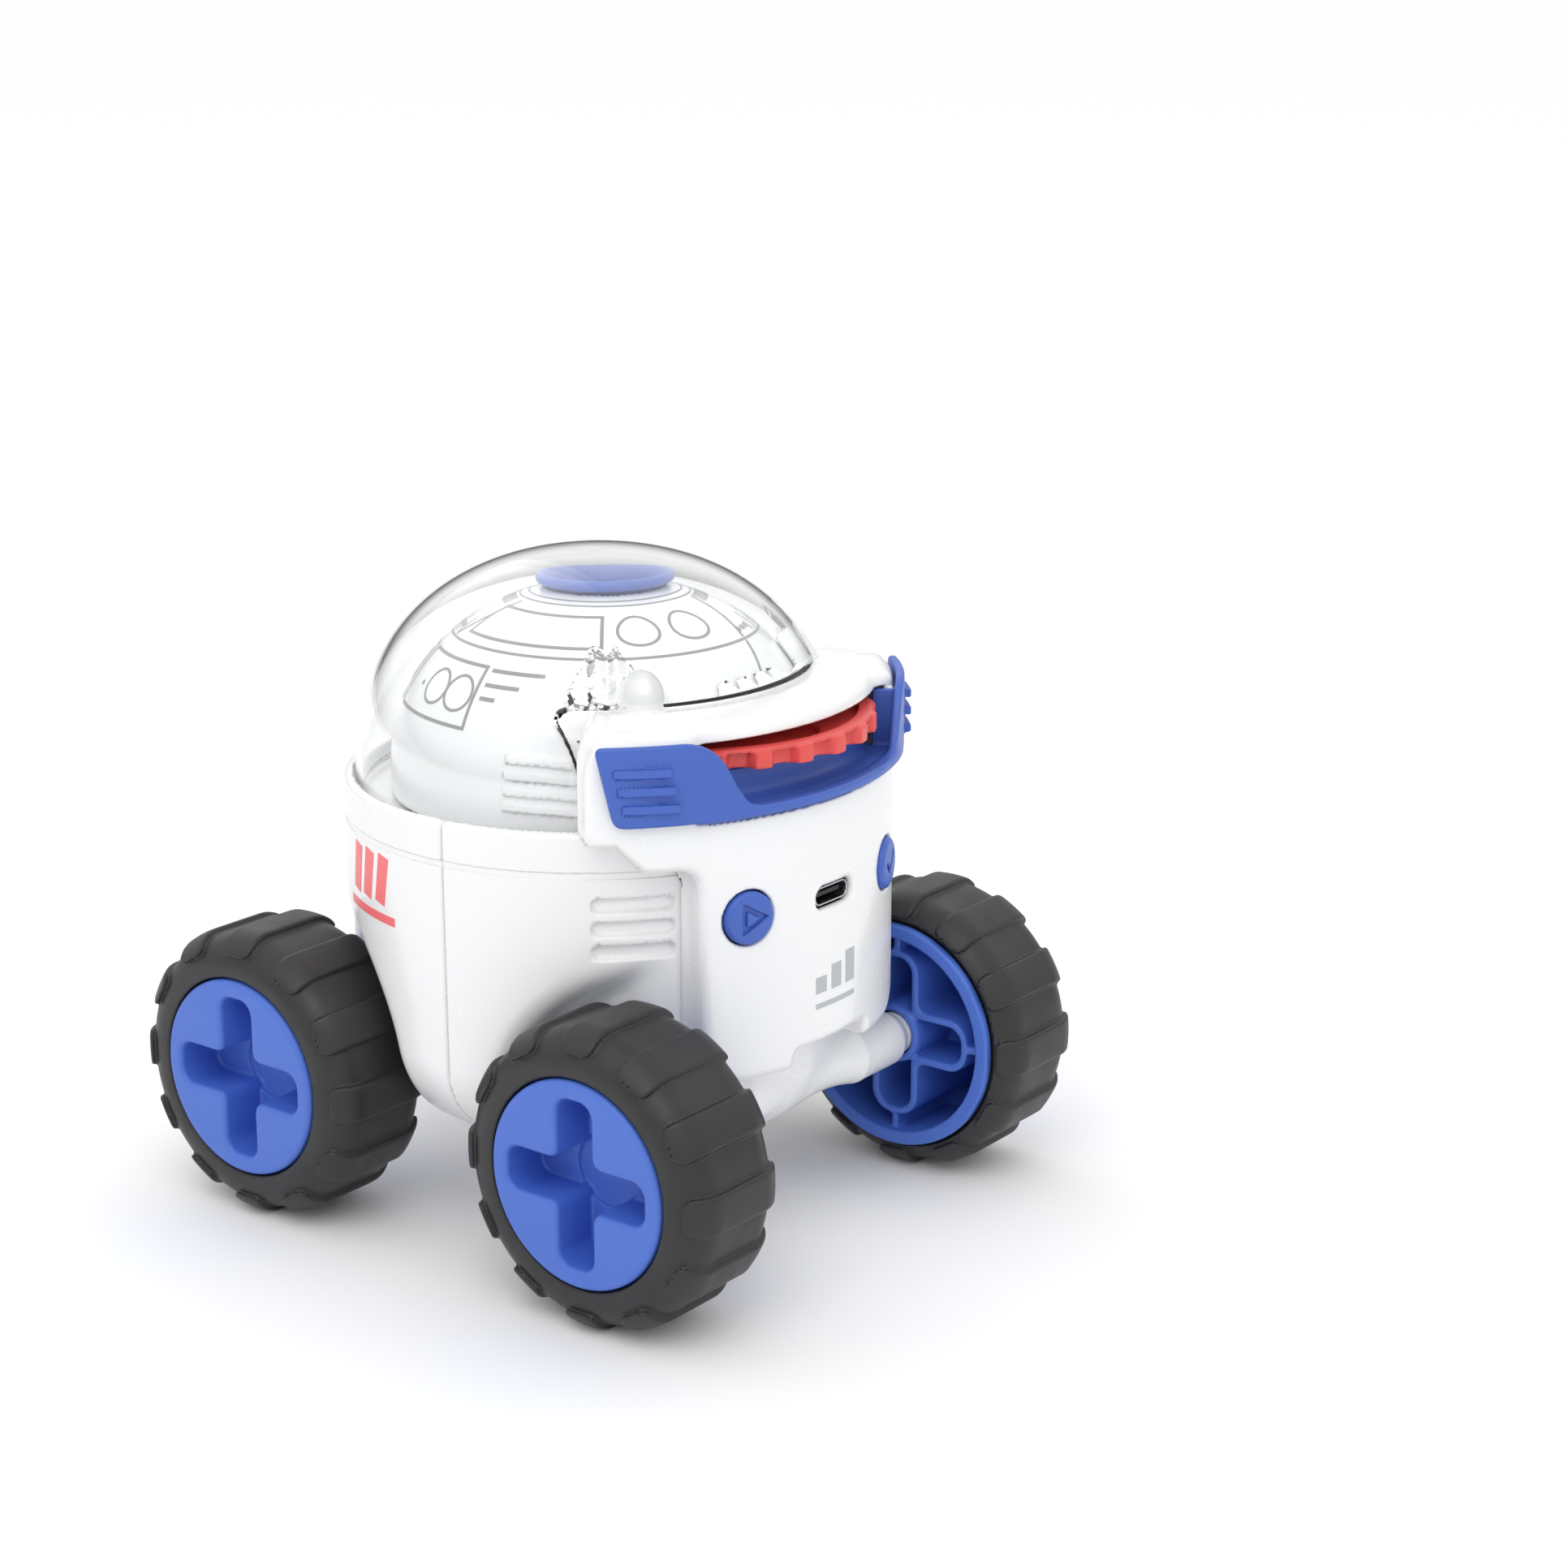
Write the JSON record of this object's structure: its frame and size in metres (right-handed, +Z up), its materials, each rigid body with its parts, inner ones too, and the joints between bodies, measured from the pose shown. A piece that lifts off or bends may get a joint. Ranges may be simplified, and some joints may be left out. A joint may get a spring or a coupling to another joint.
{
  "type": "wheeled toy projector",
  "caption": "Toy rover projector with a clear dome, a rotary picture dial, push buttons, a charging socket and free-rolling lugged wheels.",
  "frame": {"origin": "on the ground, midway between the four wheels", "axes": "+Z up, -Y is the front with the charging socket, +X is the side of the confirm button"},
  "size_m": [0.107, 0.126, 0.1127],
  "materials": {
    "white_shell": "smooth gloss moulding",
    "blue_plastic": "satin moulding",
    "red_plastic": "satin moulding",
    "tyre_rubber": "satin moulded rubber",
    "clear_plastic": "polished clear plastic",
    "steel": "bright plated",
    "bearing_bronze": "plain turned bush",
    "black_plastic": "matt moulding",
    "circuit_board": "solder mask",
    "battery_wrap": "shrink wrap"
  },
  "bodies": {
    "chassis": {"rear_shell": "white_shell", "front_shell": "white_shell", "front_panel": "white_shell", "front_cowl": "white_shell", "projector_cover": "white_shell", "projector_deck": "white_shell", "rear_door": "white_shell", "visor": "blue_plastic", "bezel": "blue_plastic", "clear_dome": "clear_plastic", "lens": "clear_plastic", "charging_socket": "steel", "dial_spindle": "steel", "belly_screw_1": "steel", "belly_screw_2": "steel", "belly_screw_3": "steel", "belly_screw_4": "steel", "axle_bush_front_left": "bearing_bronze", "axle_bush_front_right": "bearing_bronze", "axle_bush_rear_left": "bearing_bronze", "axle_bush_rear_right": "bearing_bronze", "charging_tongue": "black_plastic", "lens_barrel": "black_plastic", "lamp_housing": "black_plastic", "play_switch": "black_plastic", "confirm_switch": "black_plastic", "speaker": "black_plastic", "main_board": "circuit_board", "lamp_board": "circuit_board", "battery": "battery_wrap"},
    "wheel_front_left": {"tyre_front_left": "tyre_rubber", "hub_front_left": "blue_plastic", "axle_pin_front_left": "steel"},
    "wheel_front_right": {"tyre_front_right": "tyre_rubber", "hub_front_right": "blue_plastic", "axle_pin_front_right": "steel"},
    "wheel_rear_left": {"tyre_rear_left": "tyre_rubber", "hub_rear_left": "blue_plastic", "axle_pin_rear_left": "steel"},
    "wheel_rear_right": {"tyre_rear_right": "tyre_rubber", "hub_rear_right": "blue_plastic", "axle_pin_rear_right": "steel"},
    "dial": {"picture_dial": "red_plastic"},
    "play": {"play_button": "blue_plastic"},
    "confirm": {"confirm_button": "blue_plastic"}
  },
  "joints": [
    {"name": "wheel_front_left_spin", "type": "hinge", "parent": "chassis", "child": "wheel_front_left", "pos_m": [-0.042, -0.0377, 0.0253], "axis": [1, 0, 0], "continuous": true},
    {"name": "wheel_front_right_spin", "type": "hinge", "parent": "chassis", "child": "wheel_front_right", "pos_m": [0.042, -0.0377, 0.0253], "axis": [1, 0, 0], "continuous": true},
    {"name": "wheel_rear_left_spin", "type": "hinge", "parent": "chassis", "child": "wheel_rear_left", "pos_m": [-0.042, 0.0377, 0.0253], "axis": [1, 0, 0], "continuous": true},
    {"name": "wheel_rear_right_spin", "type": "hinge", "parent": "chassis", "child": "wheel_rear_right", "pos_m": [0.042, 0.0377, 0.0253], "axis": [1, 0, 0], "continuous": true},
    {"name": "dial_spin", "type": "hinge", "parent": "chassis", "child": "dial", "pos_m": [0, -0.0196, 0.0869], "axis": [0, 0, 1], "continuous": true},
    {"name": "play_press", "type": "slide", "parent": "chassis", "child": "play", "axis": [0.3665, 0.9304, 0], "range_m": [0, 0.0008], "stiffness_N_per_m": 800},
    {"name": "confirm_press", "type": "slide", "parent": "chassis", "child": "confirm", "axis": [-0.3665, 0.9304, 0], "range_m": [0, 0.0008], "stiffness_N_per_m": 800}
  ]
}
